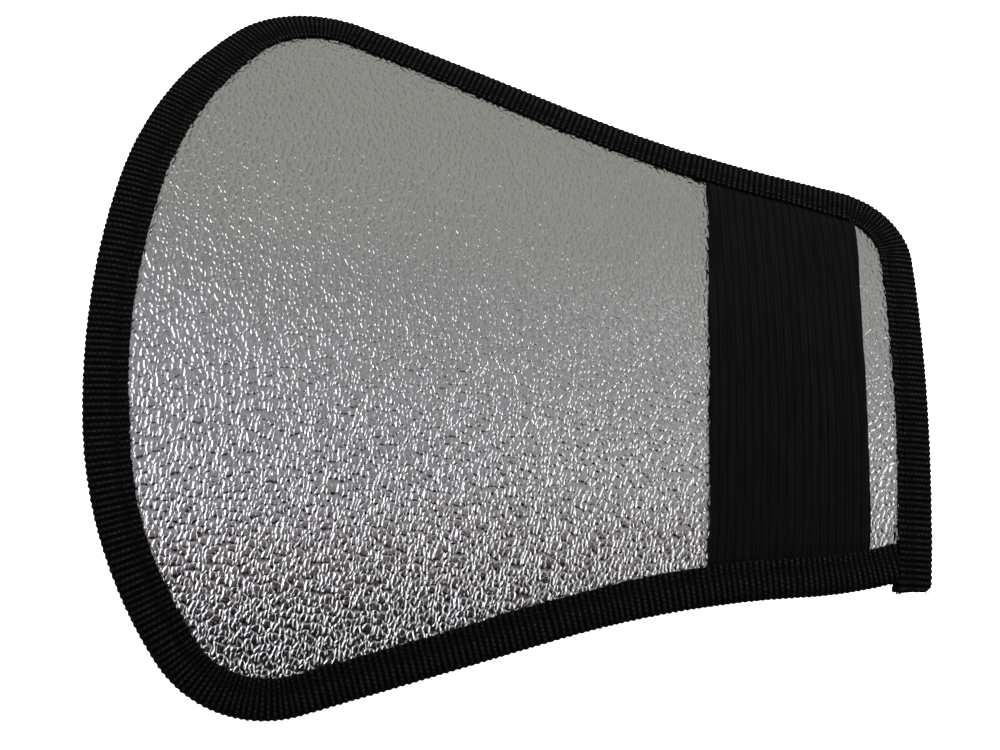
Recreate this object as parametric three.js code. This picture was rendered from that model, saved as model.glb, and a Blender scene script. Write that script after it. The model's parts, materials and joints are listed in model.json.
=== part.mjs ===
// A flexible two-sided bounce card for a hand-held camera flash: a paddle-shaped card, silver on
// one face and white on the other, bound all round with a black ribbed tape and crossed on each
// face by a wide elastic band. The flash head goes between a band and the card. The card lies on
// its edges, silver side up, bowed a little about its long axis.
//
// Millimetres. +X runs from the wide end to the narrow end, +Z is the silver side. Every sheet is
// laid out flat in u (along the card, from the wide end), v (across it) and w (through it), and
// bow() then bends it.
import * as THREE from "three";

// Driving dimensions
const cardLength = 250;
const bowRadius = 330;
const coreThickness = 1.2;
const faceThickness = 0.4;
const tapeThickness = 0.6;
const tapeCover = 11.2;
const tapeOverhang = 6.2;
const bandWidth = 50;
const bandEnd = 229.5;
const bandThickness = 1.2;
const threadWidth = 0.5;
const threadThickness = 0.3;
const gap = 0.3;

// Outline of one half: radii and angles of its arcs, from the middle of the wide end
const noseRadius = 259;
const noseTurn = 8.2;
const browRadius = 134;
const browTurn = 29.2;
const shoulderRadius = 35;
const taperLength = 70.5;
const taperAngle = 20;
const flareRadius = 337;
const neckAngle = 7.8;
const cornerRadius = 24;

// The near side is drawn in towards the narrow end, where the tape's end is sewn over its start
const drawStart = 212;
const drawRadius = 160;

// Where the card bends: the flexing is gathered in one hinge across it
const hingeU = 150;
const hingeW = -5;
const hingeGap = 0.6;
const flexLimit = 30;

const bandStart = bandEnd - bandWidth;
const bandLiftMargin = 3;
const bandLiftRamp = 4;
const bandTabInset = 4.4;
const bandSeamInset = 14.4;
const bandThreadInset = 11.9;
const seamEndRoom = 1.5;
const seamStitch = 12;
const tapeThreadInset = 8.8;

// Least distances between the stops of a swept piece, and from its ends
const stopRoom = 1.5;
const stopEndRoom = 6;

const stackHalf = coreThickness / 2 + gap + faceThickness;
const tapeHeight = stackHalf + gap + tapeThickness / 2;
const sheetInset = 2.4;
const sheetTipRoom = 0.12;
const neckStartRoom = 8;
const tapeStartInset = sheetInset + 0.2;
const bandLift = bandThickness + gap;
const overlapLift = tapeThickness + gap;

const colours = {
  silver: { color: 0xb4b4ae, roughness: 0.32, metalness: 0.9 },
  white: { color: 0xe8e8e4, roughness: 0.8, metalness: 0 },
  core: { color: 0xc9c4b8, roughness: 0.9, metalness: 0 },
  tape: { color: 0x0b0b0c, roughness: 0.85, metalness: 0 },
  elastic: { color: 0x101011, roughness: 0.8, metalness: 0 },
  thread: { color: 0x0d0d0e, roughness: 0.6, metalness: 0 },
};

const radians = THREE.MathUtils.degToRad;
const ramp = (value, low, high) => THREE.MathUtils.smoothstep(value, low, high);

/** Bends a flat point onto the bowed card. */
function bow(u, v, w) {
  const reach = bowRadius + w;
  const angle = v / bowRadius;
  return [u, reach * Math.sin(angle), reach * Math.cos(angle) - bowRadius];
}

/** Room that the hinge's mitre needs beside a point, so that both halves meet at the limit. */
function mitre(v, w) {
  const height = bow(0, v, w)[2] - hingeW;
  return Math.abs(height) * Math.tan(radians(flexLimit / 2)) + hingeGap;
}

// ---- outline -------------------------------------------------------------------------------

/** Follows straight runs and arcs from the middle of the wide end; a positive turn is to the right. */
class Edge {
  constructor(runs) {
    this.runs = [];
    let from = { s: 0, u: 0, v: 0, heading: Math.PI / 2 };
    for (const run of runs) {
      const length = run.length ?? run.radius * radians(Math.abs(run.turn));
      this.runs.push({ ...run, span: length, from });
      from = this.along(this.runs.at(-1), length);
    }
    this.length = from.s;
    this.finish = from;
  }

  along(run, distance) {
    const { s, u, v, heading } = run.from;
    if (run.length !== undefined) {
      const step = { u: distance * Math.cos(heading), v: distance * Math.sin(heading) };
      return { s: s + distance, u: u + step.u, v: v + step.v, heading };
    }
    const side = Math.sign(run.turn);
    const next = heading - (side * distance) / run.radius;
    return {
      s: s + distance,
      u: u + side * run.radius * (Math.sin(heading) - Math.sin(next)),
      v: v + side * run.radius * (Math.cos(next) - Math.cos(heading)),
      heading: next,
    };
  }

  /** The point at distance s, moved inwards by inset. A negative s runs along the mirrored half. */
  at(s, inset = 0) {
    const distance = Math.min(Math.abs(s), this.length);
    const run = this.runs.findLast((item) => item.from.s <= distance);
    const point = this.along(run, distance - run.from.s);
    const mirror = s < 0 ? -1 : 1;
    return {
      u: point.u + inset * Math.sin(point.heading),
      v: mirror * (point.v - inset * Math.cos(point.heading)),
      heading: point.heading,
    };
  }

  /** Distance along the half at which it reaches u. */
  distanceAt(u) {
    let [low, high] = [0, this.length];
    for (let i = 0; i < 40; i += 1) {
      const middle = (low + high) / 2;
      if (this.at(middle).u < u) low = middle;
      else high = middle;
    }
    return low;
  }

  /** Distances at which each run is divided, with extra stops between. */
  stops(from, to, extra = []) {
    const inner = [...extra];
    for (const run of this.runs) {
      for (let i = 0; i <= run.steps; i += 1) inner.push(run.from.s + (run.span * i) / run.steps);
    }
    const mirrored = inner.concat(inner.map((s) => -s)).sort((a, b) => a - b);
    const kept = [from];
    for (const s of mirrored) {
      const clear = s > from + stopEndRoom && s < to - stopEndRoom;
      if (clear && s > kept.at(-1) + stopRoom) kept.push(s);
    }
    return [...kept, to];
  }
}

const shoulderTurn = 90 + taperAngle - noseTurn - browTurn;
const halfRuns = [
  { radius: noseRadius, turn: noseTurn, steps: 2 },
  { radius: browRadius, turn: browTurn, steps: 5 },
  { radius: shoulderRadius, turn: shoulderTurn, steps: 9 },
  { length: taperLength, steps: 4 },
  { radius: flareRadius, turn: neckAngle - taperAngle, steps: 4 },
];
const flareEnd = new Edge(halfRuns).finish;

function neckRun(reach) {
  return { length: (reach - flareEnd.u) / Math.cos(radians(neckAngle)), steps: 1 };
}

/** The near side is drawn in and ends in a square corner. */
const drawSine = (cardLength - drawStart) / drawRadius + Math.sin(radians(neckAngle));
const nearEdge = new Edge([
  ...halfRuns,
  neckRun(drawStart),
  { radius: drawRadius, turn: THREE.MathUtils.radToDeg(Math.asin(drawSine)) - neckAngle, steps: 3 },
]);
const endHalfWidth = nearEdge.finish.v;

/** The far side turns round a corner and carries on down the narrow end. */
const cornerRuns = [
  ...halfRuns,
  neckRun(cardLength - cornerRadius * (1 - Math.sin(radians(neckAngle)))),
  { radius: cornerRadius, turn: 90 - neckAngle, steps: 6 },
];
const cornerEnd = new Edge(cornerRuns).finish;
const farEdge = new Edge([
  ...cornerRuns,
  { length: cornerEnd.v + endHalfWidth + tapeOverhang, steps: 12 },
]);

/** Where the sheet's rim crosses v: at the wide end and at the narrow one. */
function rimCrossings(v, inset) {
  const edge = v < 0 ? nearEdge : farEdge;
  const target = Math.abs(v);
  const count = 600;
  const found = [];
  let last = edge.at(0, inset);
  for (let i = 1; i <= count; i += 1) {
    const next = edge.at((edge.length * i) / count, inset);
    if (last.v <= target !== next.v <= target) {
      found.push(last.u + ((next.u - last.u) * (target - last.v)) / (next.v - last.v));
    }
    last = next;
  }
  const square = cardLength - inset;
  return { wide: found[0], narrow: found.length > 1 ? Math.min(found[1], square) : square };
}

// ---- solids ---------------------------------------------------------------------------------

/** A segmented box whose vertices go where shape(a, b, c) says, each of them from 0 to 1. */
function warpedBox(segments, shape) {
  const box = new THREE.BoxGeometry(1, 1, 1, ...segments);
  const place = box.attributes.position;
  const share = (value) => Math.round((value + 0.5) * 1e6) / 1e6;
  for (let i = 0; i < place.count; i += 1) {
    const flat = shape(share(place.getX(i)), share(place.getY(i)), share(place.getZ(i)));
    place.setXYZ(i, ...bow(...flat));
  }
  box.computeVertexNormals();
  return box;
}

/** A flat layer between two functions of v, from w = low to w = high. */
function layer({ vLimits, steps, lengthSteps = 1, uFrom, uTo, low, high }) {
  const middle = (vLimits[0] + vLimits[1]) / 2;
  const half = (vLimits[1] - vLimits[0]) / 2;
  return warpedBox([lengthSteps, steps, 1], (a, b, c) => {
    const v = middle + half * Math.sin((b - 0.5) * Math.PI);
    const [from, to] = [uFrom(v), uTo(v)];
    return [from + (to - from) * a, v, low + (high - low) * c];
  });
}

const widestV = nearEdge.at(
  nearEdge.runs[2].from.s + shoulderRadius * radians(shoulderTurn - taperAngle),
  sheetInset,
).v;

/** The part of a sheet on the wide side of the hinge. */
function paddleSheet(low, high, lengthSteps) {
  const limit = widestV - sheetTipRoom;
  return layer({
    vLimits: [-limit, limit],
    steps: 41,
    lengthSteps,
    uFrom: (v) => rimCrossings(v, sheetInset).wide,
    uTo: (v) => {
      const room = Math.max(mitre(v, low), mitre(v, high));
      return Math.min(rimCrossings(v, sheetInset).narrow, hingeU - room);
    },
    low,
    high,
  });
}

/** The part of a sheet on the narrow side of the hinge. */
function neckSheet(low, high) {
  const from = (v) => hingeU + Math.max(mitre(v, low), mitre(v, high));
  const limit = nearEdge.at(nearEdge.distanceAt(hingeU + neckStartRoom), sheetInset).v;
  return layer({
    vLimits: [-limit, limit],
    steps: 27,
    uFrom: from,
    uTo: (v) => rimCrossings(v, sheetInset).narrow,
    low,
    high,
  });
}

/** Half height of the folded tape's middle line, raised over the band ends and over its own start. */
function foldHeight(point, overStart) {
  const low = bandStart - bandLiftMargin;
  const high = bandEnd + bandLiftMargin;
  const over = ramp(point.u, low - bandLiftRamp, low) * (1 - ramp(point.u, high, high + bandLiftRamp));
  const cover = endHalfWidth - tapeCover - bandLiftRamp;
  const crossing = overStart ? ramp(-point.v, cover, cover + bandLiftRamp - 1) : 0;
  return tapeHeight + bandLift * over + overlapLift * crossing;
}

/** Puts a point of an end section on the hinge's mitre plane. */
function ontoMitre(point, w, side) {
  const target = hingeU + side * mitre(point.v, w);
  const shift = target - point.u;
  return [target, point.v - (Math.sign(point.v) * shift) * Math.tan(radians(taperAngle)), w];
}

/** Tape folded over the card's edge, along the given distances; ends on the hinge are mitred. */
function binding(edge, stops, { mitres = [0, 0], overStart = false }) {
  const foldSteps = 4;
  const steps = foldSteps + 2;
  return warpedBox([stops.length - 1, steps, 1], (a, b, c) => {
    const index = Math.round(a * (stops.length - 1));
    const place = edge.at(stops[index]);
    const height = foldHeight(place, overStart);
    const reach = height + tapeThickness * (c - 0.5);
    const station = Math.round(b * steps);
    const angle = ((station - 1) / foldSteps - 0.5) * Math.PI;
    const centre = height + tapeThickness / 2;
    const onFold = station > 0 && station < steps;
    const inset = onFold ? centre - reach * Math.cos(angle) : tapeCover;
    const w = onFold ? -reach * Math.sin(angle) : (station === 0 ? reach : -reach);
    const point = edge.at(stops[index], inset);
    const side = index === 0 ? mitres[0] : index === stops.length - 1 ? mitres[1] : 0;
    return side === 0 ? [point.u, point.v, w] : ontoMitre(point, w, side);
  });
}

/** A line of thread lying on one face of the card, at a constant inset from its edge. */
function threadLine(edge, stops, { inset, face, height }) {
  return warpedBox([stops.length - 1, 1, 1], (a, b, c) => {
    const s = stops[Math.round(a * (stops.length - 1))];
    const across = (0.5 - b) * threadWidth;
    const point = edge.at(s, inset + across);
    return [point.u, point.v, face * (height(edge.at(s)) + threadThickness * (face > 0 ? c : 1 - c))];
  });
}

/** A strip of elastic between two insets of the sides, following them from band start to band end. */
function bandPiece({ side, from, to, face, steps }) {
  const low = stackHalf + gap;
  const edge = nearEdge;
  return warpedBox([3, steps, 1], (a, b, c) => {
    const u = bandStart + bandWidth * a;
    const rim = edge.at(edge.distanceAt(u)).v;
    const limits = side === 0 ? [-(rim - to), rim - to] : [side * (rim - from), side * (rim - to)];
    const [first, second] = limits.sort((p, q) => p - q);
    const thickness = bandThickness * (face > 0 ? c : 1 - c);
    return [u, first + (second - first) * b, face * (low + thickness)];
  });
}

// ---- assembly -------------------------------------------------------------------------------

const card = new THREE.Group();

function add(name, geometry, finish) {
  const mesh = new THREE.Mesh(geometry, new THREE.MeshStandardMaterial(finish));
  mesh.name = name;
  card.add(mesh);
}

const faceLow = coreThickness / 2 + gap;
const layers = [
  { name: "core_sheet", low: -coreThickness / 2, high: coreThickness / 2, finish: colours.core },
  { name: "silver_face", low: faceLow, high: faceLow + faceThickness, finish: colours.silver },
  { name: "white_face", low: -faceLow - faceThickness, high: -faceLow, finish: colours.white },
];
for (const { name, low, high, finish } of layers) {
  add(`${name}_paddle`, paddleSheet(low, high, 3), finish);
  add(`${name}_neck`, neckSheet(low, high), finish);
}

const toHinge = nearEdge.distanceAt(hingeU);
const liftStops = [
  bandStart - bandLiftMargin - bandLiftRamp,
  bandStart - bandLiftMargin,
  bandEnd + bandLiftMargin,
  bandEnd + bandLiftMargin + bandLiftRamp,
].map((u) => nearEdge.distanceAt(u));
const overStops = [bandLiftRamp, 1].map(
  (room) => farEdge.length - tapeOverhang - tapeCover - room,
);
const startStop = nearEdge.distanceAt(cardLength - tapeStartInset);
const bindingRuns = [
  {
    name: "paddle",
    edge: nearEdge,
    stops: nearEdge.stops(-toHinge, toHinge),
    mitres: [-1, -1],
  },
  {
    name: "start",
    edge: nearEdge,
    stops: nearEdge.stops(-startStop, -toHinge, liftStops),
    mitres: [0, 1],
  },
  {
    name: "finish",
    edge: farEdge,
    stops: farEdge.stops(toHinge, farEdge.length, [...liftStops, ...overStops]),
    mitres: [1, 0],
    overStart: true,
  },
];

// How far the stitches stay from the two ends of each length of tape
const threadClear = { paddle: [4, 4], start: [tapeCover + 2, 4], finish: [4, 3] };
for (const run of bindingRuns) {
  add(`binding_${run.name}`, binding(run.edge, run.stops, run), colours.tape);
  const [first, last] = [run.stops[0], run.stops.at(-1)];
  const [startRoom, endRoom] = threadClear[run.name];
  const inner = run.stops.slice(1, -1).filter((s) => s > first + startRoom && s < last - endRoom);
  const stops = [first + startRoom, ...inner, last - endRoom];
  const height = (point) => foldHeight(point, run.overStart) + tapeThickness / 2 + gap;
  for (const [thread, face] of [["needle_thread", 1], ["bobbin_thread", -1]]) {
    const line = threadLine(run.edge, stops, { inset: tapeThreadInset, face, height });
    add(`${thread}_${run.name}`, line, colours.thread);
  }
}

const bandTop = stackHalf + gap + bandThickness + gap;
for (const [name, face] of [["front", 1], ["rear", -1]]) {
  const moving = { side: 0, to: bandSeamInset + gap, face, steps: 21 };
  add(`${name}_band`, bandPiece(moving), colours.elastic);
  for (const [end, side] of [["near", -1], ["far", 1]]) {
    const tab = { side, from: bandSeamInset, to: bandTabInset, face, steps: 2 };
    add(`${name}_band_end_${end}`, bandPiece(tab), colours.elastic);
    const between = [1, 2, 3].map((count) => seamEndRoom + count * seamStitch);
    const stops = [seamEndRoom, ...between, bandWidth - seamEndRoom].map(
      (room) => side * nearEdge.distanceAt(bandStart + room),
    );
    const seam = { inset: bandThreadInset, face, height: () => bandTop };
    const line = threadLine(nearEdge, stops.sort((a, b) => a - b), seam);
    add(`${name}_band_thread_${end}`, line, colours.thread);
  }
}

// The card rests on its two widest points and on the cut end of the tape.
const sag = (v) => bow(0, v, -tapeHeight - tapeThickness / 2)[2];
const widest = nearEdge.runs[2].from.s + shoulderRadius * radians(shoulderTurn - taperAngle);
const widestPoint = nearEdge.at(widest);
const drop = sag(endHalfWidth + tapeOverhang) - sag(widestPoint.v);
card.rotation.y = Math.atan2(drop, cardLength - widestPoint.u);

const group = new THREE.Group();
group.add(card);
group.updateMatrixWorld(true);
const box = new THREE.Box3().setFromObject(card, true);
const centre = box.getCenter(new THREE.Vector3());
card.position.set(-centre.x, -centre.y, -box.min.z);

export default group;
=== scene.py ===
"""Looks of a flexible flash bounce card: a paddle-shaped card with a pebbled silver face, a white
woven back, a ribbed tape bound round its edge, and an elastic band across each face.

Lengths are metres. A point of any sheet is given flat, as u (along the card, from the wide end),
v (across it) and w (through it, positive on the silver side); to_world() bends and places it.
"""
import json
import math
import random

import bpy
import numpy as np
from mathutils import Matrix, Vector, noise


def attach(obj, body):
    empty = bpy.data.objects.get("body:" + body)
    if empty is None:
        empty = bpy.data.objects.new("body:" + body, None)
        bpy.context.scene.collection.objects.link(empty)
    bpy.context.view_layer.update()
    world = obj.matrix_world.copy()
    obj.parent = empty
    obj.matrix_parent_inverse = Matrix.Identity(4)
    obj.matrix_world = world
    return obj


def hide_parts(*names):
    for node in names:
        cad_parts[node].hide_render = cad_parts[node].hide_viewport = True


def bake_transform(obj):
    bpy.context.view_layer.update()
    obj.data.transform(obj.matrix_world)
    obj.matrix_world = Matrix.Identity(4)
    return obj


MM = 0.001
SHARP_ANGLE = 55  # degrees between faces, above which an edge is drawn sharp

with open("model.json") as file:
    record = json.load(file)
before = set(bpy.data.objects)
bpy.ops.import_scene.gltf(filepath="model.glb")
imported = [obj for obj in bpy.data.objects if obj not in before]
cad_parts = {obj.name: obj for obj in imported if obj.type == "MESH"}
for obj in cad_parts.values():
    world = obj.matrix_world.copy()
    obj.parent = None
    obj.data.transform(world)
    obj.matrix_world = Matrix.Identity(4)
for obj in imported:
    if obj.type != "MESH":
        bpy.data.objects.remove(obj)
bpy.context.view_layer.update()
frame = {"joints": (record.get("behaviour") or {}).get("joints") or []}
joints = {joint["name"]: joint for joint in frame["joints"]}

# ---- sizes, as in the CAD model ---------------------------------------------------------------

CARD_LENGTH = 250 * MM
BOW_RADIUS = 330 * MM
HINGE_U = 150 * MM
HINGE_W = -5 * MM
CORE_THICK = 1.2 * MM
FACE_THICK = 0.4 * MM
TAPE_THICK = 0.6 * MM
TAPE_COVER = 11.2 * MM
TAPE_OVERHANG = 6.2 * MM
BAND_WIDTH = 50 * MM
BAND_END_U = 229.5 * MM
BAND_START_U = BAND_END_U - BAND_WIDTH
BAND_THICK = 1.2 * MM
SHEET_INSET = 2.4 * MM
GLUE_GAP = 0.05 * MM
FACE_LOW = CORE_THICK / 2 + GLUE_GAP
STACK_HALF = FACE_LOW + FACE_THICK
BEND_WIDE_REACH = 32 * MM
BEND_NECK_REACH = BEND_WIDE_REACH * 0.85

# Outline of one half, from the middle of the wide end: (radius, turn to the right) and (length,)
SHOULDER_TURN = 90 + 20 - 8.2 - 29.2
NECK_ANGLE = 7.8
CORNER_RADIUS = 24 * MM
DRAW_START = 212 * MM
DRAW_RADIUS = 160 * MM
HALF_RUNS = [
    (259 * MM, 8.2),
    (134 * MM, 29.2),
    (35 * MM, SHOULDER_TURN),
    (70.5 * MM,),
    (337 * MM, NECK_ANGLE - 20),
]


class Edge:
    """One half of the card's outline as a dense line, with the distance s along it."""

    def __init__(self, runs):
        step = 0.1 * MM
        s, u, v, heading = [0.0], [0.0], [0.0], [math.pi / 2]
        for run in runs:
            turn = math.radians(run[1]) if len(run) == 2 else 0.0
            length = run[0] * abs(turn) if turn else run[0]
            count = max(1, math.ceil(length / step))
            for _ in range(count):
                middle = heading[-1] - turn / count / 2
                chord = length / count
                if turn:
                    half = abs(turn) / count / 2
                    chord = 2 * run[0] * math.sin(half)
                s.append(s[-1] + length / count)
                u.append(u[-1] + chord * math.cos(middle))
                v.append(v[-1] + chord * math.sin(middle))
                heading.append(heading[-1] - turn / count)
        self.s, self.u, self.v, self.heading = (np.array(x) for x in (s, u, v, heading))

    def at(self, s, inset=0.0):
        """(u, v) at distance s, moved inwards by inset. A negative s runs along the near half."""
        far = np.abs(s)
        heading = np.interp(far, self.s, self.heading)
        u = np.interp(far, self.s, self.u) + inset * np.sin(heading)
        v = np.interp(far, self.s, self.v) - inset * np.cos(heading)
        return u, np.where(np.asarray(s) < 0, -v, v)

    def distance_at(self, u):
        """Distance along the half at which it reaches u."""
        return float(np.interp(u, self.u, self.s))


def neck_run(flare, reach):
    """The straight run of the neck from the end of the flare to u = reach."""
    return ((reach - flare.u[-1]) / math.cos(math.radians(NECK_ANGLE)),)


flare = Edge(HALF_RUNS)
draw_sine = (CARD_LENGTH - DRAW_START) / DRAW_RADIUS + math.sin(math.radians(NECK_ANGLE))
draw_turn = math.degrees(math.asin(draw_sine)) - NECK_ANGLE
near_edge = Edge(HALF_RUNS + [neck_run(flare, DRAW_START), (DRAW_RADIUS, draw_turn)])
END_HALF = float(near_edge.v[-1])
corner_start = CARD_LENGTH - CORNER_RADIUS * (1 - math.sin(math.radians(NECK_ANGLE)))
CORNER_RUNS = HALF_RUNS + [neck_run(flare, corner_start), (CORNER_RADIUS, 90 - NECK_ANGLE)]
corner_v = float(Edge(CORNER_RUNS).v[-1])
far_edge = Edge(CORNER_RUNS + [(corner_v + END_HALF + TAPE_OVERHANG,)])

# ---- the card's place in the row frame --------------------------------------------------------

normal = Vector(joints["front_band_stretch"]["axis"]).normalized()
pitch = math.atan2(normal.x, normal.z)
turn = Matrix.Rotation(pitch, 3, "Y")
card_origin = Vector(joints["card_flex"]["pos_m"]) - turn @ Vector((HINGE_U, 0, HINGE_W))


def to_world(u, v, w):
    """Bends flat points onto the bowed card and places them in the row frame, as an array."""
    u, v, w = np.broadcast_arrays(u, v, w)
    angle = v / BOW_RADIUS
    reach = BOW_RADIUS + w
    bent = np.stack([u, reach * np.sin(angle), reach * np.cos(angle) - BOW_RADIUS], -1)
    return bent @ np.array(turn).T + np.array(card_origin)


def world_point(u, v, w):
    return Vector(to_world(u, v, w).tolist())


# ---- mesh helpers -----------------------------------------------------------------------------


def make_mesh(name, points, faces, flat=None, smooth=True):
    """A mesh object from world points; flat is stored as the point attribute the materials read."""
    mesh = bpy.data.meshes.new(name)
    mesh.from_pydata(np.asarray(points).reshape(-1, 3).tolist(), [], faces)
    if flat is not None:
        store = mesh.attributes.new("flat", "FLOAT_VECTOR", "POINT")
        store.data.foreach_set("vector", np.asarray(flat, np.float32).ravel())
    mesh.validate()
    mesh.update()
    if smooth:
        mesh.polygons.foreach_set("use_smooth", [True] * len(mesh.polygons))
        mesh.set_sharp_from_angle(angle=math.radians(SHARP_ANGLE))
    piece = bpy.data.objects.new(name, mesh)
    bpy.context.scene.collection.objects.link(piece)
    return piece


def zip_rows(lower, upper, at_lower, at_upper):
    """Triangles between two rows of vertex numbers, with the place of each vertex along its row."""
    faces = []
    i, j = 0, 0
    while i < len(lower) - 1 or j < len(upper) - 1:
        step_lower = j == len(upper) - 1 or (
            i < len(lower) - 1 and at_lower[i + 1] <= at_upper[j + 1]
        )
        if step_lower:
            faces.append((lower[i], lower[i + 1], upper[j]))
            i += 1
        else:
            faces.append((lower[i], upper[j + 1], upper[j]))
            j += 1
    return faces


def rim_curves(inset, edge):
    """The sheet's rim as u against v, on the wide end's side and the narrow end's, and its widest v."""
    s = np.linspace(0, edge.s[-1], 8000)
    u, v = edge.at(s, inset)
    top = int(np.argmax(v))
    narrow_u, narrow_v = u[top:][::-1], v[top:][::-1]
    return (v[: top + 1], u[: top + 1]), (narrow_v, narrow_u), float(v[top])


def sheet_rows(inset, spacing):
    """Rows of constant v across the card: (v, u at the wide end, u at the narrow end)."""
    rows = []
    near, far = rim_curves(inset, near_edge), rim_curves(inset, far_edge)
    reach = near[2] - 0.1 * MM
    for v in np.linspace(-reach, reach, int(2 * reach / spacing) + 1):
        wide, narrow, _ = near if v < 0 else far
        start = np.interp(abs(v), *wide)
        end = min(np.interp(abs(v), *narrow), CARD_LENGTH - inset)
        if abs(v) < END_HALF - CORNER_RADIUS - 2 * MM:
            end = CARD_LENGTH - inset
        rows.append((v, start, end))
    return rows


def sheet_solid(name, low, high, grid, coarse, flip=False):
    """A thin closed sheet with a dense side and a coarse one; flip puts the dense side below.

    grid is the dense side's step along u and along v; coarse is the other side's number of steps.
    """
    rows = sheet_rows(SHEET_INSET, grid[1])
    dense_w, coarse_w = (low, high) if flip else (high, low)
    flat, faces, dense, plain = [], [], [], []
    count = 0
    for v, start, end in rows:
        steps = max(2, int((end - start) / grid[0]))
        u = np.linspace(start, end, steps + 1)
        flat += [(x, v, dense_w) for x in u]
        dense.append((range(count, count + len(u)), u))
        count += len(u)
        u = np.linspace(start, end, coarse + 1)
        flat += [(x, v, coarse_w) for x in u]
        plain.append((range(count, count + len(u)), u))
        count += len(u)
    for (a, b), (c, d) in zip(zip(dense, dense[1:]), zip(plain, plain[1:])):
        faces += zip_rows(a[0], b[0], a[1], b[1])
        faces += [f[::-1] for f in zip_rows(c[0], d[0], c[1], d[1])]
        faces.append((c[0][0], a[0][0], b[0][0], d[0][0])[::-1])
        faces.append((c[0][-1], a[0][-1], b[0][-1], d[0][-1]))
    first = zip_rows(dense[0][0], plain[0][0], dense[0][1], plain[0][1])
    last = zip_rows(dense[-1][0], plain[-1][0], dense[-1][1], plain[-1][1])
    faces += [f[::-1] for f in first] + last
    if flip:
        faces = [f[::-1] for f in faces]
    flat = np.array(flat)
    return make_mesh(name, to_world(*flat.T), faces, flat)


def grid_faces(rows, columns, wrap):
    """Quads of a grid of points, rows by columns; wrap closes each row on itself."""
    faces = []
    for i in range(rows - 1):
        for j in range(columns if wrap else columns - 1):
            k = (j + 1) % columns
            this_row, next_row = i * columns, (i + 1) * columns
            faces.append((this_row + j, next_row + j, next_row + k, this_row + k))
    return faces


def closed_sweep(name, points, flat=None):
    """A swept solid from stations of closed sections, with its two ends filled."""
    rows, columns = points.shape[:2]
    faces = grid_faces(rows, columns, True)
    faces.append(tuple(range(columns)))
    faces.append(tuple(reversed(range((rows - 1) * columns, rows * columns))))
    return make_mesh(name, points.reshape(-1, 3), faces, flat)


def wander(x, scale, seed):
    """Smooth noise along a line, about -1 to 1."""
    return np.array([noise.noise(Vector((value / scale, seed, 0.5))) * 2 for value in np.ravel(x)])


def smooth(value, low, high):
    """0 below low and 1 above high, with a soft step between."""
    t = np.clip((np.asarray(value, float) - low) / (high - low), 0, 1)
    return t * t * (3 - 2 * t)


# ---- material helpers -------------------------------------------------------------------------


class Tree:
    """Short names for building a node tree, for a material or for geometry."""

    def __init__(self, tree):
        self.tree = tree

    def node(self, kind, inputs=(), **settings):
        made = self.tree.nodes.new(kind)
        for name, value in settings.items():
            setattr(made, name, value)
        for name, value in dict(inputs).items():
            if isinstance(value, bpy.types.NodeSocket):
                self.tree.links.new(value, made.inputs[name])
            else:
                made.inputs[name].default_value = value
        return made

    def math(self, operation, a, b=0.0):
        return self.node("ShaderNodeMath", {0: a, 1: b}, operation=operation).outputs[0]

    def vector(self, operation, a, b=(0, 0, 0)):
        made = self.node("ShaderNodeVectorMath", {0: a, 1: b}, operation=operation)
        return made.outputs[0]

    def ramp(self, value, low, high, to_low=0.0, to_high=1.0):
        """A soft step from to_low to to_high as the value goes from low to high."""
        made = self.node("ShaderNodeMapRange", {0: value, 1: low, 2: high, 3: to_low, 4: to_high})
        made.interpolation_type = "SMOOTHSTEP"
        return made.outputs[0]

    def noise(self, vector, scale, detail):
        inputs = {"Vector": vector, "Scale": scale, "Detail": detail}
        return self.node("ShaderNodeTexNoise", inputs).outputs[0]

    def mix(self, share, a, b):
        made = self.node("ShaderNodeMix", data_type="RGBA")
        for index, value in ((0, share), (6, a), (7, b)):
            if isinstance(value, bpy.types.NodeSocket):
                self.tree.links.new(value, made.inputs[index])
            else:
                made.inputs[index].default_value = value
        return made.outputs[2]


def new_material(name):
    """A material with a Principled shader, its tree, and the flat place of the shaded point in mm."""
    material = bpy.data.materials.new(name)
    material.use_nodes = True
    tree = Tree(material.node_tree)
    shader = material.node_tree.nodes["Principled BSDF"]
    place = tree.node("ShaderNodeAttribute", attribute_name="flat").outputs["Vector"]
    return material, tree, shader, place


def in_mm(tree, place):
    made = tree.node("ShaderNodeVectorMath", {0: place}, operation="SCALE")
    made.inputs["Scale"].default_value = 1 / MM
    return made.outputs[0]


def bump(tree, shader, height, distance):
    made = tree.node("ShaderNodeBump", {"Height": height, "Distance": distance, "Strength": 1.0})
    tree.tree.links.new(made.outputs[0], shader.inputs["Normal"])


# ---- silver film ------------------------------------------------------------------------------

PEBBLE_ACROSS = 1.3 * MM
PEBBLE_ALONG = 1.9 * MM
PEBBLE_LEAN = 0.08
PEBBLE_HEIGHT = 0.19 * MM
# Shares of the pebbles' height that the mesh and the shading each show.
MESH_SHARE = 0.3
BUMP_SHARE = 0.8


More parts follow.
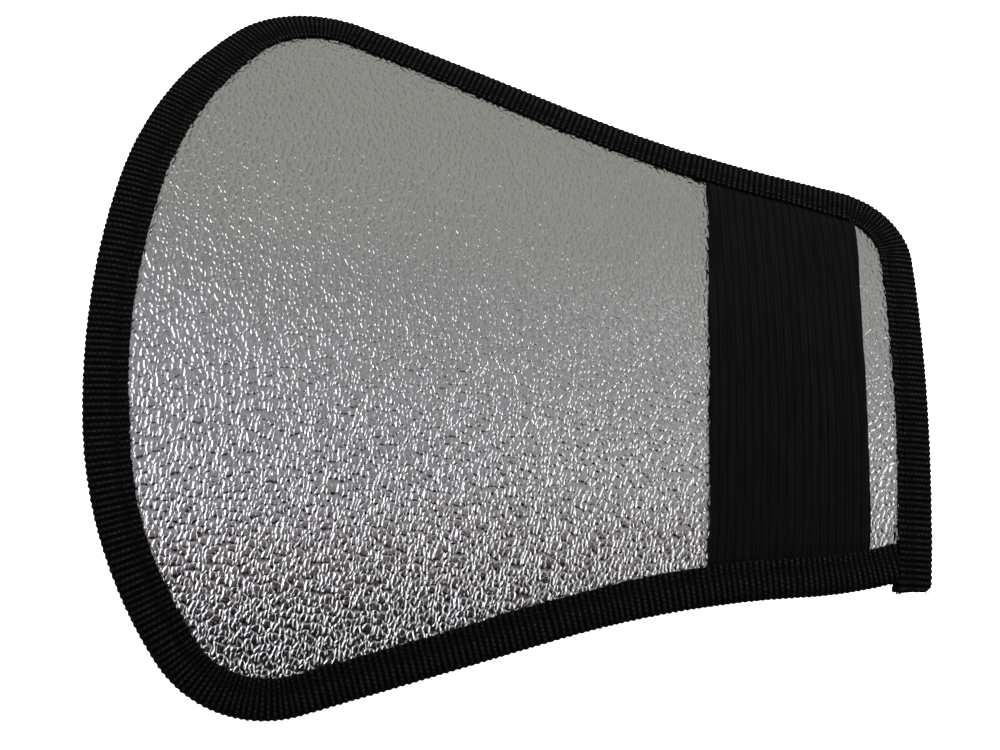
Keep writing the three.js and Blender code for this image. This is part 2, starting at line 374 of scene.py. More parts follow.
def pebbles(tree, flat_mm):
    """Height of the embossing, 0 in the hollows and 1 on the tops, at flat points in mm."""
    warp = tree.node("ShaderNodeTexNoise", {"Vector": flat_mm, "Scale": 0.3, "Detail": 1.0})
    shift = tree.vector("SUBTRACT", warp.outputs["Color"], (0.5, 0.5, 0.5))
    shift = tree.vector("MULTIPLY", shift, (2.2, 2.2, 0.0))
    parts = tree.node("ShaderNodeSeparateXYZ", {0: tree.vector("ADD", flat_mm, shift)})
    along = parts.outputs[1]
    across = tree.math("SUBTRACT", parts.outputs[0], tree.math("MULTIPLY", along, PEBBLE_LEAN))
    spread = tree.node("ShaderNodeCombineXYZ", {
        0: tree.math("MULTIPLY", across, MM / PEBBLE_ACROSS),
        1: tree.math("MULTIPLY", along, MM / PEBBLE_ALONG),
    })
    cells = tree.node("ShaderNodeTexVoronoi", {"Vector": spread.outputs[0], "Scale": 1.0})
    cells.inputs["Randomness"].default_value = 0.9
    cells.voronoi_dimensions = "2D"
    cells.feature = "F1"
    return tree.ramp(cells.outputs["Distance"], 0.27, 0.74, 1.0, 0.0)


def silver_material():
    material, tree, shader, place = new_material("silver_film")
    flat_mm = in_mm(tree, place)
    height = pebbles(tree, flat_mm)
    fine = tree.noise(flat_mm, 1.5, 3.0)
    total = tree.math("ADD", height, tree.math("MULTIPLY", fine, 0.26))
    bump(tree, shader, total, BUMP_SHARE * PEBBLE_HEIGHT)
    soft = tree.noise(flat_mm, 0.05, 1.0)
    tint = tree.mix(soft, (0.60, 0.60, 0.575, 1), (0.64, 0.635, 0.62, 1))
    tree.tree.links.new(tint, shader.inputs["Base Color"])
    rough = tree.ramp(tree.noise(flat_mm, 0.8, 2.0), 0.3, 0.7, 0.14, 0.24)
    tree.tree.links.new(rough, shader.inputs["Roughness"])
    shader.inputs["Metallic"].default_value = 1.0
    return material


def emboss(piece, top_w):
    """Sinks the film's dense side between the pebbles, in the pattern that the material has."""
    group = bpy.data.node_groups.new("emboss", "GeometryNodeTree")
    group.interface.new_socket("Geometry", in_out="INPUT", socket_type="NodeSocketGeometry")
    group.interface.new_socket("Geometry", in_out="OUTPUT", socket_type="NodeSocketGeometry")
    tree = Tree(group)
    source = tree.node("NodeGroupInput")
    sink = tree.node("NodeGroupOutput")
    named = tree.node("GeometryNodeInputNamedAttribute", {"Name": "flat"}, data_type="FLOAT_VECTOR")
    flat_mm = in_mm(tree, named.outputs["Attribute"])
    height = pebbles(tree, flat_mm)
    parts = tree.node("ShaderNodeSeparateXYZ", {0: flat_mm})
    on_top = tree.math("GREATER_THAN", parts.outputs[2], (top_w - 0.1 * MM) / MM)
    lift = tree.math("MULTIPLY", tree.math("SUBTRACT", height, 1.0), on_top)
    lift = tree.math("MULTIPLY", lift, MESH_SHARE * PEBBLE_HEIGHT)
    normal_in = tree.node("GeometryNodeInputNormal").outputs[0]
    offset = tree.node("ShaderNodeVectorMath", {0: normal_in}, operation="SCALE")
    tree.tree.links.new(lift, offset.inputs["Scale"])
    move = tree.node("GeometryNodeSetPosition", {"Geometry": source.outputs[0]})
    tree.tree.links.new(offset.outputs[0], move.inputs["Offset"])
    tree.tree.links.new(move.outputs[0], sink.inputs[0])
    modifier = piece.modifiers.new("emboss", "NODES")
    modifier.node_group = group
    with bpy.context.temp_override(object=piece, active_object=piece):
        bpy.ops.object.modifier_apply(modifier="emboss")


def bend_across_hinge(piece):
    """Bakes a continuous piece's placement into its mesh; the piece is not bent over the neck."""
    start = world_point(HINGE_U - BEND_WIDE_REACH, 0, 0)
    end = world_point(HINGE_U + BEND_NECK_REACH, 0, 0)
    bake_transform(piece)


def silver_face():
    grid = ((0.5 * MM, 1.1 * MM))
    piece = sheet_solid("silver_face", FACE_LOW, STACK_HALF, grid, 30)
    emboss(piece, STACK_HALF)
    piece.data.materials.append(silver_material())
    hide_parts("silver_face_paddle", "silver_face_neck")
    bend_across_hinge(piece)


# ---- white back -------------------------------------------------------------------------------


WEAVE_PITCH = 0.45 * MM


def weave(tree, flat_mm):
    """Height of a plain weave, with threads along u and v."""
    scaled = tree.node("ShaderNodeVectorMath", {0: flat_mm}, operation="SCALE")
    scaled.inputs["Scale"].default_value = math.pi / (WEAVE_PITCH / MM)
    parts = tree.node("ShaderNodeSeparateXYZ", {0: scaled.outputs[0]})
    warp = tree.math("SINE", parts.outputs[0])
    weft = tree.math("SINE", parts.outputs[1])
    over = tree.math("MULTIPLY", warp, weft)
    return tree.ramp(tree.math("ABSOLUTE", over), 0.0, 1.0)


def white_material():
    material, tree, shader, place = new_material("white_fabric")
    flat_mm = in_mm(tree, place)
    threads = weave(tree, flat_mm)
    slubs = tree.noise(flat_mm, 1.1, 3.0)
    height = tree.math("ADD", threads, tree.math("MULTIPLY", slubs, 0.8))
    bump(tree, shader, height, 0.05 * MM)
    soil = tree.noise(flat_mm, 0.03, 3.0)
    colour = tree.mix(tree.ramp(soil, 0.35, 0.75), (0.86, 0.86, 0.84, 1), (0.78, 0.78, 0.75, 1))
    # Painted shade: the weave is darker in the grooves between its threads, where its height is lowest.
    colour = tree.mix(tree.ramp(threads, 0.0, 0.35), (0.70, 0.70, 0.68, 1), colour)
    tree.tree.links.new(colour, shader.inputs["Base Color"])
    shader.inputs["Roughness"].default_value = 0.75
    shader.inputs["Sheen Weight"].default_value = 0.15
    return material


def white_face():
    piece = sheet_solid("white_face", -STACK_HALF, -FACE_LOW, (2.5 * MM, 2.5 * MM), 60, flip=True)
    piece.data.materials.append(white_material())
    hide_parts("white_face_paddle", "white_face_neck")
    bend_across_hinge(piece)


def core_material():
    material, tree, shader, place = new_material("core_foam")
    flat_mm = in_mm(tree, place)
    pores = tree.noise(flat_mm, 2.4, 4.0)
    bump(tree, shader, pores, 0.1 * MM)
    # Painted shade: the foam is darker in the pits of its pores and lighter on their raised parts.
    colour = tree.mix(tree.ramp(pores, 0.35, 0.65), (0.52, 0.48, 0.40, 1), (0.66, 0.62, 0.54, 1))
    tree.tree.links.new(colour, shader.inputs["Base Color"])
    shader.inputs["Roughness"].default_value = 0.9
    return material


def core_sheet():
    piece = sheet_solid("core_sheet", -CORE_THICK / 2, CORE_THICK / 2, (4 * MM, 4 * MM), 60)
    piece.data.materials.append(core_material())
    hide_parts("core_sheet_paddle", "core_sheet_neck")
    bend_across_hinge(piece)


# ---- binding tape -----------------------------------------------------------------------------

RIB_PITCH = 1.78 * MM
RIB_HEIGHT = 0.32 * MM
YARN_PITCH = 0.62 * MM
STITCH_INSET = 9.1 * MM
BAND_EDGE_THICK = 0.5 * MM
BAND_RAISE = BAND_EDGE_THICK + 0.1 * MM
LIFT_RAMP = 3 * MM
LIFT_MARGIN = 0.5 * MM
COVER_RAISE = TAPE_THICK + 0.2 * MM
TAPE_REST = STACK_HALF + 0.1 * MM + TAPE_THICK / 2
FOLD_INSET = TAPE_THICK / 2 + 0.5 * RIB_HEIGHT


def fold_height(u, v, finish):
    """Half height of the folded tape, raised over the band ends and over the tape's own start."""
    low, high = BAND_START_U - LIFT_MARGIN, BAND_END_U + LIFT_MARGIN
    over = smooth(u, low - LIFT_RAMP, low) * (1 - smooth(u, high, high + LIFT_RAMP))
    cover = END_HALF - TAPE_COVER - LIFT_RAMP
    crossing = np.where(finish, smooth(-v, cover, cover + LIFT_RAMP), 0.0)
    return TAPE_REST + BAND_RAISE * over + COVER_RAISE * crossing


class Station:
    """Edges, distances and heights of the tape's stations, from its start to its cut end."""

    def __init__(self, step):
        start = near_edge.distance_at(CARD_LENGTH - SHEET_INSET)
        near = np.arange(-start, 0, step)
        far = np.arange(near[-1] + step, far_edge.s[-1], step)
        self.s = np.concatenate([near, far])
        self.near = self.s < 0
        u, v = self.at(0.0)
        self.finish = ~self.near
        self.height = fold_height(u, v, self.finish)

    def at(self, inset):
        inset = np.broadcast_to(inset, self.s.shape)
        u_near, v_near = near_edge.at(self.s, inset)
        u_far, v_far = far_edge.at(self.s, inset)
        return np.where(self.near, u_near, u_far), np.where(self.near, v_near, v_far)


def tape_section():
    """The folded tape's section: (place along the tape's width, layer), outer side then inner.

    The place runs from -1 at the front inner edge through 0 at the fold to 1 at the rear one.
    """
    front = np.linspace(-1, -0.24, 13)
    fold = np.linspace(-0.16, 0.16, 7)
    outer = np.concatenate([front, fold, -front[::-1]])
    inner = np.linspace(1, -1, 9)
    return [(t, 1) for t in outer] + [(t, -1) for t in inner]


def tape_point(t, fold, cover):
    """Inset and w of the tape's middle line, and its outward direction, at place t."""
    quarter = fold * math.pi / 2
    run = np.abs(t) * (cover - FOLD_INSET - fold + quarter)
    side = np.where(t < 0, 1.0, -1.0)
    on_fold = run < quarter
    angle = np.where(on_fold, run / fold, math.pi / 2)
    inset = FOLD_INSET + np.where(on_fold, fold * (1 - np.cos(angle)), fold + run - quarter)
    w = side * fold * np.sin(angle)
    return inset, w, -np.cos(angle), side * np.sin(angle)


def rib_strength(inset):
    """Ribs are full over the outer part, faint beside the seam and half strong at the inner edge."""
    return 1 - 0.75 * smooth(inset, 5.6 * MM, 7.6 * MM) + 0.35 * smooth(inset, 9.4 * MM, 10.6 * MM)


def cut_trim(inset):
    """How far the cut end falls short: its outer corner is rounded, its inner part hangs longer."""
    corner = 2.2 * MM * smooth(3.4 * MM - inset, 0, 3.4 * MM)
    return corner - 0.7 * MM * smooth(inset, 8.5 * MM, 10.5 * MM)


def binding():
    stations = Station(RIB_PITCH / (5))
    tail = stations.s[-1] - stations.s
    along = stations.at(0.0)[0]
    on_nose = smooth(60 * MM - along, 0, 30 * MM)
    far_side = stations.finish * smooth(along, 15 * MM, 50 * MM) * smooth(tail, 145 * MM, 165 * MM)
    cover = TAPE_COVER + 0.5 * MM * on_nose - 0.7 * MM * far_side
    cover = cover + 0.24 * MM * wander(stations.s, 26 * MM, 3.1)
    phase = stations.s / RIB_PITCH + 0.16 * wander(stations.s, 9 * MM, 7.7)
    rib = 0.5 + 0.5 * np.cos(2 * math.pi * phase)
    loops = 0.18 * MM * rib + 0.10 * MM * wander(stations.s, 1.1 * MM, 5.2)
    points, flat = [], []
    for t, side in tape_section():
        inset, w, out_inset, out_w = tape_point(t, stations.height, cover)
        edge_share = smooth(abs(t), 0.93, 1.0)
        inset = inset + edge_share * loops
        dent = np.exp(-(((inset - STITCH_INSET) / (0.7 * MM)) ** 2)) * 0.14 * MM
        pillow = np.sin(np.clip(inset / STITCH_INSET, 0, 1) * math.pi) * 0.22 * MM
        out = side * (TAPE_THICK / 2) * (1 - 0.3 * edge_share) + pillow - dent
        if side > 0:
            knots = RIB_HEIGHT * rib * rib_strength(inset)
            out = out + knots + 0.04 * MM * wander(stations.s + 3 * t * MM, 0.8 * MM, 2.0 + t)
        out = out * (0.75 + 0.25 * smooth(tail, 0.0, 3 * MM))
        inset = inset + out * out_inset
        w = w + out * out_w
        u, v = stations.at(inset)
        ragged = 0.16 * MM * noise.noise(Vector((inset[-1] / (0.9 * MM), 3.0, side)))
        v = v + (cut_trim(inset) + ragged) * np.exp(-tail / (0.9 * MM)) * stations.finish
        points.append(to_world(u, v, w))
        flat.append(np.stack([phase * RIB_PITCH, np.full_like(u, t * TAPE_COVER), w], -1))
    points, flat = np.stack(points, 1), np.stack(flat, 1)
    piece = closed_sweep("binding", points, flat.reshape(-1, 3))
    piece.data.materials.append(tape_material())
    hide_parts("binding_paddle", "binding_start", "binding_finish")
    bend_across_hinge(piece)


def tape_material():
    """Grosgrain: the dots of each rib sit between those of the next one, as the warp floats."""
    material, tree, shader, place = new_material("grosgrain_tape")
    flat_mm = in_mm(tree, place)
    parts = tree.node("ShaderNodeSeparateXYZ", {0: flat_mm})
    ribs = tree.math("COSINE", tree.math("MULTIPLY", parts.outputs[0], math.pi / (RIB_PITCH / MM)))
    yarns = tree.math("COSINE", tree.math("MULTIPLY", parts.outputs[1], math.pi / (YARN_PITCH / MM)))
    dots = tree.math("MULTIPLY", ribs, yarns)
    crest = tree.math("MULTIPLY", ribs, ribs)
    inset = tree.math("ABSOLUTE", parts.outputs[1])
    beside_seam = tree.math("SUBTRACT", inset, (STITCH_INSET - 1.4 * MM) / MM)
    quiet = tree.ramp(tree.math("ABSOLUTE", beside_seam), 0.5, 1.3, 0.25, 1.0)
    fuzz = tree.noise(flat_mm, 2.6, 3.0)
    patches = tree.noise(flat_mm, 0.35, 2.0)
    height = tree.math("ADD", tree.math("MULTIPLY", dots, 0.5), fuzz)
    bump(tree, shader, height, 0.11 * MM)
    # Painted highlight: the rib crests and the raised warp dots are made lighter, more where the fuzz
    # stands up, less in random patches and beside the seam where the ribs are faint.
    light = tree.ramp(crest, 0.45, 0.95)
    light = tree.math("MULTIPLY", light, tree.ramp(dots, -0.8, 1.0, 0.25, 1.0))
    light = tree.math("MULTIPLY", light, tree.ramp(fuzz, 0.3, 0.65))
    light = tree.math("MULTIPLY", light, tree.ramp(patches, 0.3, 0.7, 0.45, 1.0))
    light = tree.math("MULTIPLY", light, quiet)
    # Painted shade: the grooves between the ribs are darker than their crests.
    raised = tree.ramp(crest, 0.2, 0.9)
    base = tree.mix(raised, (0.0006, 0.0006, 0.0006, 1), (0.0022, 0.0022, 0.0022, 1))
    colour = tree.mix(light, base, (0.0145, 0.0145, 0.0148, 1))
    tree.tree.links.new(colour, shader.inputs["Base Color"])
    shader.inputs["Roughness"].default_value = 0.65
    shader.inputs["Specular IOR Level"].default_value = 0.02
    return material


# ---- thread -----------------------------------------------------------------------------------


THREAD_TWIST = 14.0  # radians per millimetre of thread


def thread_material():
    material, tree, shader, place = new_material("black_thread")
    flat_mm = in_mm(tree, place)
    along = tree.node("ShaderNodeSeparateXYZ", {0: flat_mm}).outputs[0]
    twist = tree.math("SINE", tree.math("MULTIPLY", along, THREAD_TWIST))
    bump(tree, shader, twist, 0.03 * MM)
    # Painted highlight and shade: the thread is lighter on the raised turns of its twist and darker
    # between them.
    raised = tree.ramp(twist, -1.0, 1.0)
    colour = tree.mix(raised, (0.0008, 0.0008, 0.0008, 1), (0.0035, 0.0035, 0.0035, 1))
    tree.tree.links.new(colour, shader.inputs["Base Color"])
    shader.inputs["Roughness"].default_value = 0.6
    shader.inputs["Specular IOR Level"].default_value = 0.03
    return material


STITCH_LENGTH = 2 * MM
STITCH_GAP = 0.25 * MM
STITCH_RADIUS = 0.17 * MM
STITCH_POINTS = 6
# Loose yarns: how many, then their places from the card's end and their lengths, in millimetres.
FRAY_TUFT = 16
FRAY_TUFT_PLACES = (10.4, 11.9)
FRAY_TUFT_LENGTHS = (0.6, 1.8)
FRAY_STRAYS = 7
FRAY_STRAY_PLACES = (1.5, 8.5)
FRAY_STRAY_LENGTHS = (0.3, 1.0)
FRAY_RADIUS = 0.12 * MM


def stitch_tube(flat_path, radius, sides=7):
    """Ring points of one stitch from flat centre points; its ends dive into the cloth."""
    path = to_world(*flat_path.T)
    along = np.gradient(path, axis=0)
    along /= np.linalg.norm(along, axis=1)[:, None]
    up = np.array(normal)
    side = np.cross(along, up)
    side /= np.linalg.norm(side, axis=1)[:, None]
    lift = np.cross(side, along)
    angles = np.linspace(0, 2 * math.pi, sides, endpoint=False)
    sideways = np.cos(angles)[None, :, None] * side[:, None]
    upwards = np.sin(angles)[None, :, None] * lift[:, None]
    return path[:, None] + (sideways + upwards) * radius[:, None, None]


def stitch_row(name, paths, body=None, replaces=(), thick=STITCH_RADIUS):
    """Short lengths of thread as one piece; each path is an array of flat centre points."""
    points, faces, flat = [], [], []
    count = 0
    for path in paths:
        share = np.linspace(-1, 1, len(path))
        radius = thick * np.sqrt(np.clip(1.02 - share**4, 0.05, 1))
        rings = stitch_tube(path, radius)
        rows, columns = rings.shape[:2]
        faces += [tuple(count + k for k in f) for f in grid_faces(rows, columns, True)]
        faces.append(tuple(count + k for k in range(columns)))
        faces.append(tuple(count + k for k in reversed(range((rows - 1) * columns, rows * columns))))
        points.append(rings.reshape(-1, 3))
        flat.append(np.repeat(path, columns, axis=0))
        count += rows * columns
    piece = make_mesh(name, np.concatenate(points), faces, np.concatenate(flat))
    piece.data.materials.append(materials["thread"])
    if replaces:
        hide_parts(*replaces)
    if body is None:
        bend_across_hinge(piece)
    else:
        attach(piece, body)
    return piece


def edge_stitches(face):
    """Flat paths of the stitches along the tape on one face: 1 is the silver side, -1 the white."""
    stations = Station(0.2 * MM)
    start = stations.s[0] + 1.5 * MM
    end = stations.s[-1] - 1.5 * MM
    paths = []
    for first in np.arange(start, end - STITCH_LENGTH, STITCH_LENGTH):
        s = np.linspace(first + STITCH_GAP, first + STITCH_LENGTH - STITCH_GAP, STITCH_POINTS)
        sway = 0.15 * MM * float(noise.noise(Vector((first / (12 * MM), 4.4, face))))
        edge = near_edge if first < 0 else far_edge
        u, v = edge.at(s, STITCH_INSET + sway)
        height = np.interp(s, stations.s, stations.height)
        arch = np.sin(np.linspace(0, math.pi, STITCH_POINTS)) ** 0.5
        top = height + TAPE_THICK / 2 - 0.02 * MM + 0.20 * MM * arch
        paths.append(np.stack([u, v, face * top], -1))
    return paths


def threads():
    for name, face in (("needle_thread", 1), ("bobbin_thread", -1)):
        nodes = [f"{name}_{part}" for part in ("paddle", "start", "finish")]
        stitch_row(name, edge_stitches(face), replaces=nodes)


def frayed_end():
    """Yarns that hang loose from the tape's cut end: a tuft at its inner corner and a few strays."""
    chance = random.Random(11)
    cut = -(END_HALF + TAPE_OVERHANG)
    places = [chance.uniform(*FRAY_TUFT_PLACES) for _ in range(FRAY_TUFT)]
    places += [chance.uniform(*FRAY_STRAY_PLACES) for _ in range(FRAY_STRAYS)]
    paths = []
    for index, place in enumerate(places):
        tuft = index < FRAY_TUFT
        length = chance.uniform(*(FRAY_TUFT_LENGTHS if tuft else FRAY_STRAY_LENGTHS))
        lean = chance.uniform(-0.7, 0.4)
        curl = chance.uniform(-0.5, 0.5)
        height = TAPE_REST + COVER_RAISE + chance.uniform(-0.3, 0.2) * MM
        share = np.linspace(0, 1, 6)
        u = CARD_LENGTH - place * MM + (lean * share + curl * share**2) * length * 0.6 * MM
        v = cut + (0.8 - share * (length + 0.8)) * MM
        paths.append(np.stack([u, v, height - 0.5 * MM * share**2], -1))
    stitch_row("frayed_end", paths, "neck", thick=FRAY_RADIUS)


# ---- elastic bands ----------------------------------------------------------------------------

BAND_RIBS = 19
BAND_SEAM_INSET = 14.4 * MM
BAND_TAB_INSET = 4.4 * MM
BAND_THREAD_INSET = 11.7 * MM
BAND_FLAT_V = 18 * MM
BAND_SKEW = 1.5 * MM
BAND_HOLLOW = 0.6 * MM
PICK_PITCH = 0.7 * MM
ELASTIC_YARN_PITCH = 0.62 * MM


def elastic_material():
    material, tree, shader, place = new_material("black_elastic")
    flat_mm = in_mm(tree, place)
    parts = tree.node("ShaderNodeSeparateXYZ", {0: flat_mm})
    pick_turn = 2 * math.pi / (PICK_PITCH / MM)
    picks = tree.math("SINE", tree.math("MULTIPLY", parts.outputs[1], pick_turn))
    yarn_turn = 2 * math.pi / (ELASTIC_YARN_PITCH / MM)
    yarns = tree.math("SINE", tree.math("MULTIPLY", parts.outputs[0], yarn_turn))
    fuzz = tree.noise(flat_mm, 2.8, 3.0)
    height = tree.math("ADD", tree.math("MULTIPLY", picks, yarns), fuzz)
    bump(tree, shader, height, 0.05 * MM)
    streaks = tree.math("MULTIPLY", parts.outputs[0], BAND_RIBS * 2 * math.pi / (BAND_WIDTH / MM))
    # Painted shade: darker lines in the grooves between the band's ribs, and weaker ones halfway
    # between them.
    groove = tree.ramp(tree.math("COSINE", streaks), 0.6, 0.98)
    half_groove = tree.ramp(tree.math("COSINE", streaks), -0.8, -1.0, 0.0, 0.35)
    stretched = tree.vector("MULTIPLY", flat_mm, (1.0, 0.03, 0.0))
    lines = tree.ramp(tree.noise(stretched, 1.3, 3.0), 0.35, 0.65)
    # Partly painted highlight: the band is lighter where its fuzz stands up; the streaks along the band
    # are its own uneven tone.
    light = tree.ramp(fuzz, 0.3, 0.75, 0.5, 1.0)
    light = tree.math("MULTIPLY", light, tree.math("ADD", lines, 0.6))
    colour = tree.mix(light, (0.0008, 0.0008, 0.0008, 1), (0.0030, 0.0030, 0.0030, 1))
    colour = tree.mix(tree.math("MAXIMUM", groove, half_groove), colour, (0.0013, 0.0013, 0.0013, 1))
    tree.tree.links.new(colour, shader.inputs["Base Color"])
    shader.inputs["Roughness"].default_value = 0.65
    shader.inputs["Specular IOR Level"].default_value = 0.02
    return material


def band_half(name, face, side):
    """Half of an elastic band, from under the tape to the middle of the card."""
    per_rib = 8
    u_count = BAND_RIBS * per_rib + 1
    v_count = 40
    u = np.linspace(BAND_START_U, BAND_END_U, u_count)
    rim = near_edge.at(np.interp(u, near_edge.u, near_edge.s))[1]
    share = np.linspace(0, 1, v_count) ** 0.8
    reach = rim - BAND_TAB_INSET
    v = side * share[:, None] * reach[None, :]
    rib = np.abs(np.sin(np.linspace(0, BAND_RIBS * math.pi, u_count))) ** 0.6
    waver = 0.10 * MM * wander(v[:, 0], 8 * MM, 6.0 + face)
    low = STACK_HALF + 0.04 * MM
    inset = rim[None, :] - np.abs(v)
    full = BAND_EDGE_THICK + (BAND_THICK - BAND_EDGE_THICK) * smooth(inset, 10 * MM, 15 * MM)
    skew = BAND_SKEW * smooth(v, 5 * MM, 60 * MM)
    skew = skew - BAND_HOLLOW * smooth(60 * MM - np.abs(v), 0, 40 * MM)
    edges = np.abs(u - u.mean()) > 0.49 * BAND_WIDTH
    u_place = u[None, :] + skew + waver[:, None] * np.where(edges, 1.0, 0.2)
    upper = low + full - 0.2 * MM * (1 - rib)[None, :]
    lower = np.full_like(v, low)
    flat_top = np.stack([u_place, v, face * upper], -1)
    flat_low = np.stack([u_place, v, face * lower], -1)[:, ::-1]
    flat = np.concatenate([flat_top, flat_low], 1)
    points = to_world(*np.moveaxis(flat, -1, 0))
    if face * side > 0:
        points, flat = points[:, ::-1], flat[:, ::-1]
    piece = closed_sweep(name, points, flat.reshape(-1, 3))
    piece.data.materials.append(materials["elastic"])
    body = "front_band" if face > 0 else "rear_band"
    ends = f"{body}_end_{'near' if side < 0 else 'far'}"
    replaced = [ends, body] if side < 0 else [ends]
    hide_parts(*replaced)
    seam = float(rim.min()) - BAND_SEAM_INSET
    height = face * (low + BAND_THICK / 2)
    start = world_point(BAND_START_U, side * seam, height)
    end = world_point(BAND_START_U, side * BAND_FLAT_V, height)
    end.z = start.z
    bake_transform(piece)


def band_stitches(face, side):
    """Flat paths of the stitches that hold a band's end, just inside the tape."""
    paths = []
    for first in np.arange(BAND_START_U + 1.2 * MM, BAND_END_U - STITCH_LENGTH, STITCH_LENGTH):
        u = np.linspace(first + STITCH_GAP, first + STITCH_LENGTH - STITCH_GAP, STITCH_POINTS)
        v = near_edge.at(np.interp(u, near_edge.u, near_edge.s))[1] - BAND_THREAD_INSET
        arch = np.sin(np.linspace(0, math.pi, STITCH_POINTS)) ** 0.5
        top = STACK_HALF + BAND_EDGE_THICK + 0.02 * MM + 0.18 * MM * arch
        paths.append(np.stack([u, side * v, face * top], -1))
    return paths


def bands():
    for name, face in (("front_band", 1), ("rear_band", -1)):
        for end, side in (("near", -1), ("far", 1)):
            band_half(f"{name}_{end}_half", face, side)
            node = f"{name}_thread_{end}"
            stitch_row(f"{name}_stitches_{end}", band_stitches(face, side), "neck", [node])


# ---- set --------------------------------------------------------------------------------------

# The camera's place and aim along the flat card's u, v and w.
CAMERA_AT = (49.3 * MM, -134.8 * MM, 336.2 * MM)
CAMERA_LOOK = (0.1814, 0.3366, -0.9240)
CAMERA_UP = (-0.1062, 0.9408, 0.3219)
CAMERA_LENS = 45.44


def place_camera():
    data = bpy.data.cameras.new("camera")
    data.lens = CAMERA_LENS
    data.sensor_width = 36.0
    data.clip_start = 0.01
    camera = bpy.data.objects.new("camera", data)
    bpy.context.scene.collection.objects.link(camera)
    look = turn @ Vector(CAMERA_LOOK).normalized()
    up = turn @ Vector(CAMERA_UP)
    right = look.cross(up).normalized()
    up = right.cross(look)
    axes = Matrix((right, up, -look)).transposed()
    camera.matrix_world = Matrix.Translation(turn @ Vector(CAMERA_AT) + card_origin) @ axes.to_4x4()
    bpy.context.scene.camera = camera


# The floor lies below the lowest point that the bent card and the rear band reach.
FLOOR_HEIGHT = -90 * MM
FLOOR_REACH = 6.0
FLOOR_GLOW = 0.5


def make_floor():
    """A white ground that the part neither mirrors nor takes light from, so its white face shows."""
    reach = FLOOR_REACH
    corners = [(-reach, -reach, 0), (reach, -reach, 0), (reach, reach, 0), (-reach, reach, 0)]
    floor = make_mesh("floor", corners, [(0, 1, 2, 3)], smooth=False)
    floor.location.z = FLOOR_HEIGHT
    material = bpy.data.materials.new("floor")
    material.use_nodes = True
    shader = material.node_tree.nodes["Principled BSDF"]
    shader.inputs["Base Color"].default_value = (0.9, 0.9, 0.9, 1)
    shader.inputs["Roughness"].default_value = 0.9
    shader.inputs["Emission Color"].default_value = (1, 1, 1, 1)
    shader.inputs["Emission Strength"].default_value = FLOOR_GLOW
    floor.data.materials.append(material)
    floor.visible_glossy = False
    floor.visible_diffuse = False


def area_light(name, place, size, power):
    """A lamp that points at the middle of the set and isn't seen in the silver film."""
    data = bpy.data.lights.new(name, "AREA")
    data.shape = "RECTANGLE"
    data.size, data.size_y = size
    data.energy = power
    light = bpy.data.objects.new(name, data)
    bpy.context.scene.collection.objects.link(light)
    light.location = place
    light.rotation_mode = "QUATERNION"
    light.rotation_quaternion = (-Vector(place)).to_track_quat("-Z", "Y")
    light.visible_glossy = False


def lobe(tree, direction, towards, wide, narrow):
    """1 near a direction of the sky, falling to 0 between two angles from it, in degrees."""
    aim = Vector(towards).normalized()
    made = tree.node("ShaderNodeVectorMath", {0: direction, 1: aim}, operation="DOT_PRODUCT")
    low, high = math.cos(math.radians(wide)), math.cos(math.radians(narrow))
    return tree.ramp(made.outputs["Value"], low, high)


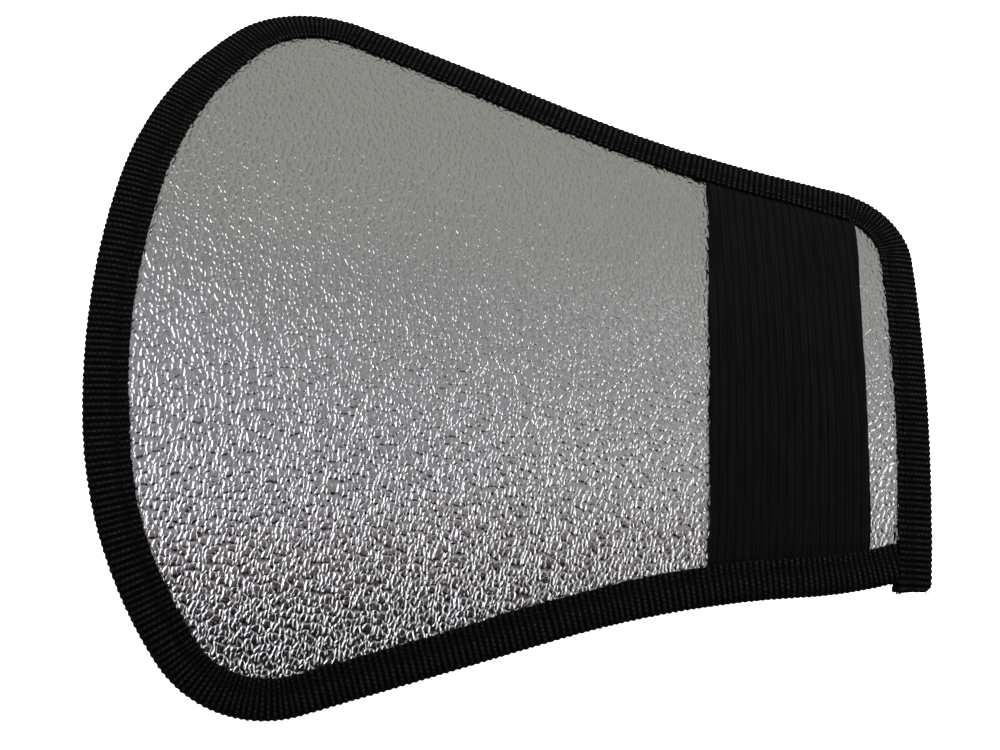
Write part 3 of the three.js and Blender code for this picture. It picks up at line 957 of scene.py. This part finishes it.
def make_world():
    """A grey studio: bright patches at left and right, a dark near side and a plain horizon."""
    world = bpy.data.worlds.new("studio")
    world.use_nodes = True
    bpy.context.scene.world = world
    tree = Tree(world.node_tree)
    background = world.node_tree.nodes["Background"]
    direction = tree.node("ShaderNodeTexCoord").outputs["Generated"]
    parts = tree.node("ShaderNodeSeparateXYZ", {0: direction})
    across = parts.outputs[0]
    back = parts.outputs[1]
    up = parts.outputs[2]
    # Greys from the far side to above the near side, with a light strip towards the narrow end.
    aside = tree.ramp(across, -0.25, 0.05)
    middle = tree.mix(aside, (0.27, 0.275, 0.25, 1), (0.42, 0.425, 0.39, 1))
    colour = tree.mix(tree.ramp(back, 0.95, 0.82), (0.43, 0.435, 0.40, 1), middle)
    near = tree.mix(aside, (0.39, 0.37, 0.475, 1), (0.345, 0.335, 0.37, 1))
    strip = tree.math("MULTIPLY", tree.ramp(across, 0.26, 0.32), tree.ramp(across, 0.6, 0.45))
    near = tree.mix(strip, near, (0.66, 0.665, 0.65, 1))
    colour = tree.mix(tree.ramp(back, 0.62, 0.40), colour, near)
    # The near side falls off to black.
    front = tree.math("SUBTRACT", back, tree.math("MULTIPLY", across, 0.35))
    colour = tree.mix(tree.ramp(front, -0.06, -0.26), colour, (0.21, 0.165, 0.17, 1))
    colour = tree.mix(tree.ramp(front, -0.20, -0.42), colour, (0.004, 0.003, 0.003, 1))
    # Uneven brightness, as a room's things give.
    clutter = tree.ramp(tree.noise(direction, 5.0, 2.0), 0.3, 0.7, -0.3, 0.2)
    clutter = tree.math("MULTIPLY", clutter, tree.ramp(back, 0.7, 0.3))
    shaded = tree.node("ShaderNodeVectorMath", {0: colour}, operation="SCALE")
    tree.tree.links.new(tree.math("ADD", clutter, 1.0), shaded.inputs["Scale"])
    # The two bright patches.
    left = lobe(tree, direction, (-0.85, -0.02, 0.52), 45, 25)
    right = lobe(tree, direction, (0.86, -0.3, 0.42), 34, 16)
    left = tree.math("MULTIPLY", left, tree.ramp(back, 0.5, 0.2))
    left = tree.math("MULTIPLY", left, tree.ramp(back, -0.5, -0.1, 0.4, 1.0))
    right = tree.math("MULTIPLY", right, tree.ramp(back, 0.35, 0.05))
    right = tree.math("MULTIPLY", right, tree.ramp(back, -0.5, -0.1, 0.4, 1.0))
    colour = tree.mix(left, shaded.outputs[0], (3.1, 3.1, 3.5, 1))
    colour = tree.mix(right, colour, (2.1, 2.1, 2.2, 1))
    # Plain grey near the horizon and below it.
    colour = tree.mix(tree.ramp(up, 0.3, 0.15), colour, (0.4, 0.4, 0.4, 1))
    world.node_tree.links.new(colour, background.inputs["Color"])


def make_lights():
    area_light("key", (0.35, 0.75, 0.45), (0.9, 0.5), 26.0)
    area_light("overhead", (0.0, 0.1, 1.3), (1.6, 1.4), 8.0)


# ---- build ------------------------------------------------------------------------------------

place_camera()
make_world()
make_lights()
make_floor()
bpy.context.scene.view_settings.view_transform = "Standard"
materials = {"thread": thread_material(), "elastic": elastic_material()}
core_sheet()
silver_face()
white_face()
binding()
threads()
frayed_end()
bands()
